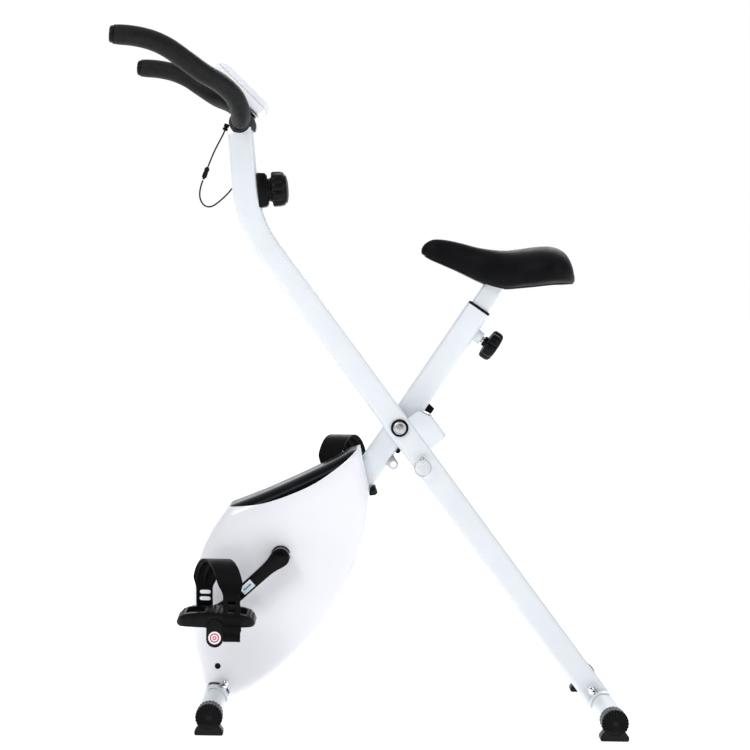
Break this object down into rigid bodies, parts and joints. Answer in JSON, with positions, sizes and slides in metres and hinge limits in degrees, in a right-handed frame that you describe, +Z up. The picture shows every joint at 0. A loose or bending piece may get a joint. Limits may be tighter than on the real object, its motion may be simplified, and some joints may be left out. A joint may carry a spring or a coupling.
{
  "type": "folding exercise bike",
  "caption": "Folding exercise bike on an X frame of square tubes, with a belt-driven flywheel in a white casing, pedals with toe straps, a height-adjustable saddle and a curved handlebar.",
  "frame": {"origin": "on the floor, under the centre of the bounding box", "axes": "+Z up, +X to the rear of the bike (the handlebar points to -X), +Y to the rider's right"},
  "size_m": [0.8052, 0.4912, 1.076],
  "materials": {
    "white_paint": "satin powder coat",
    "white_plastic": "smooth gloss",
    "black_plastic": "fine grain",
    "black_gloss": "gloss",
    "black_paint": "gloss",
    "foam": "matt closed-cell foam",
    "rubber": "satin",
    "saddle_skin": "satin moulded skin",
    "steel": "zinc plated",
    "chrome": "polished",
    "cast_iron": "turned"
  },
  "bodies": {
    "front_frame": {"front_foot_bracket": "white_paint", "front_foot_tube": "white_paint", "front_foot_nut_left": "chrome", "front_foot_nut_right": "chrome", "front_end_cap_left": "black_plastic", "front_end_cap_right": "black_plastic", "seat_tube": "white_paint", "seat_collar": "black_plastic", "open_stop_bumper": "rubber", "fold_stop_bumper": "rubber", "casing_left": "white_plastic", "casing_right": "white_plastic", "casing_top_cover": "black_gloss", "crank_housing": "steel", "crank_bearing_left": "chrome", "crank_bearing_right": "chrome", "drive_belt": "rubber", "flywheel_axle": "steel", "magnet_stay": "steel"},
    "rear_frame": {"rear_foot_bracket": "white_paint", "rear_foot_tube": "white_paint", "rear_foot_nut_left": "chrome", "rear_foot_nut_right": "chrome", "rear_end_cap_left": "black_plastic", "rear_end_cap_right": "black_plastic", "post_tube": "white_paint", "u_bracket": "white_paint", "pivot_bolt": "steel", "handlebar": "black_paint", "grip_left": "foam", "grip_right": "foam", "clamp_cover": "black_plastic", "console": "white_plastic", "console_bracket": "black_plastic", "tension_base": "black_plastic", "sensor_lead_upper": "rubber", "sensor_lead_lower": "rubber", "lead_plug": "black_plastic", "lead_grommet": "rubber"},
    "lock_pin": {"lock_pin": "steel"},
    "pull_ring": {"pull_ring": "chrome"},
    "console_button": {"console_button": "black_plastic"},
    "tension_knob": {"tension_knob": "black_plastic"},
    "magnet_bracket": {"magnet_bracket": "steel"},
    "seat_slide": {"seat_post": "white_paint", "saddle_plate": "white_paint", "saddle": "saddle_skin"},
    "seat_pin": {"seat_pin": "steel"},
    "seat_knob": {"seat_knob": "black_plastic"},
    "crank": {"crank_axle": "steel", "drive_pulley": "black_plastic", "crank_arm_left": "black_paint", "crank_arm_right": "black_paint", "pedal_spindle_left": "steel", "pedal_spindle_right": "steel"},
    "pedal_left": {"pedal_left": "black_plastic", "toe_strap_left": "rubber"},
    "pedal_right": {"pedal_right": "black_plastic", "toe_strap_right": "rubber"},
    "flywheel": {"flywheel": "cast_iron"}
  },
  "joints": [
    {"name": "fold", "type": "hinge", "parent": "front_frame", "child": "rear_frame", "pos_m": [0.052, 0, 0.462], "axis": [0, 1, 0], "range_deg": [0, 44.4]},
    {"name": "seat_height", "type": "slide", "parent": "front_frame", "child": "seat_slide", "axis": [0.5529, 0, 0.8332], "range_m": [0, 0.1]},
    {"name": "seat_pin_pull", "type": "slide", "parent": "front_frame", "child": "seat_pin", "axis": [0.8332, 0, -0.5529], "range_m": [0, 0.008], "stiffness_N_per_m": 1500, "springref_m": -0.004},
    {"name": "seat_knob_turn", "type": "hinge", "parent": "seat_pin", "child": "seat_knob", "pos_m": [0.19566, 0, 0.5971], "axis": [0.8332, 0, -0.5529], "range_deg": [0, 360]},
    {"name": "lock_pin_pull", "type": "slide", "parent": "rear_frame", "child": "lock_pin", "axis": [0, -1, 0], "range_m": [0, 0.01], "stiffness_N_per_m": 600, "springref_m": -0.004},
    {"name": "pull_ring_swing", "type": "hinge", "parent": "lock_pin", "child": "pull_ring", "pos_m": [0.08946, -0.073, 0.41259], "axis": [-1, 0, 0], "range_deg": [0, 80]},
    {"name": "tension_turn", "type": "hinge", "parent": "rear_frame", "child": "tension_knob", "pos_m": [-0.17964, -0.041, 0.83689], "axis": [0.9955, 0, 0.0946], "range_deg": [0, 270]},
    {"name": "magnet_swing", "type": "hinge", "parent": "front_frame", "child": "magnet_bracket", "pos_m": [-0.23305, 0.041, 0.11408], "axis": [0, 1, 0], "range_deg": [0, 4.5]},
    {"name": "console_button_press", "type": "slide", "parent": "rear_frame", "child": "console_button", "axis": [-0.7071, 0, -0.7071], "range_m": [0, 0.0015], "stiffness_N_per_m": 800, "springref_m": -0.0005},
    {"name": "crank_spin", "type": "hinge", "parent": "front_frame", "child": "crank", "pos_m": [-0.134, 0, 0.257], "axis": [0, 1, 0], "continuous": true},
    {"name": "pedal_left_spin", "type": "hinge", "parent": "crank", "child": "pedal_left", "pos_m": [-0.22985, -0.1525, 0.16917], "axis": [0, 1, 0], "continuous": true},
    {"name": "pedal_right_spin", "type": "hinge", "parent": "crank", "child": "pedal_right", "pos_m": [-0.03815, 0.1525, 0.34483], "axis": [0, 1, 0], "continuous": true},
    {"name": "flywheel_spin", "type": "hinge", "parent": "front_frame", "child": "flywheel", "pos_m": [-0.16163, 0.041, 0.14007], "axis": [0, 1, 0], "continuous": true}
  ],
  "couplings": [
    {"joint": "flywheel_spin", "follows": "crank_spin", "ratio": 5},
    {"joint": "magnet_swing", "follows": "tension_turn", "ratio": 0.016}
  ]
}
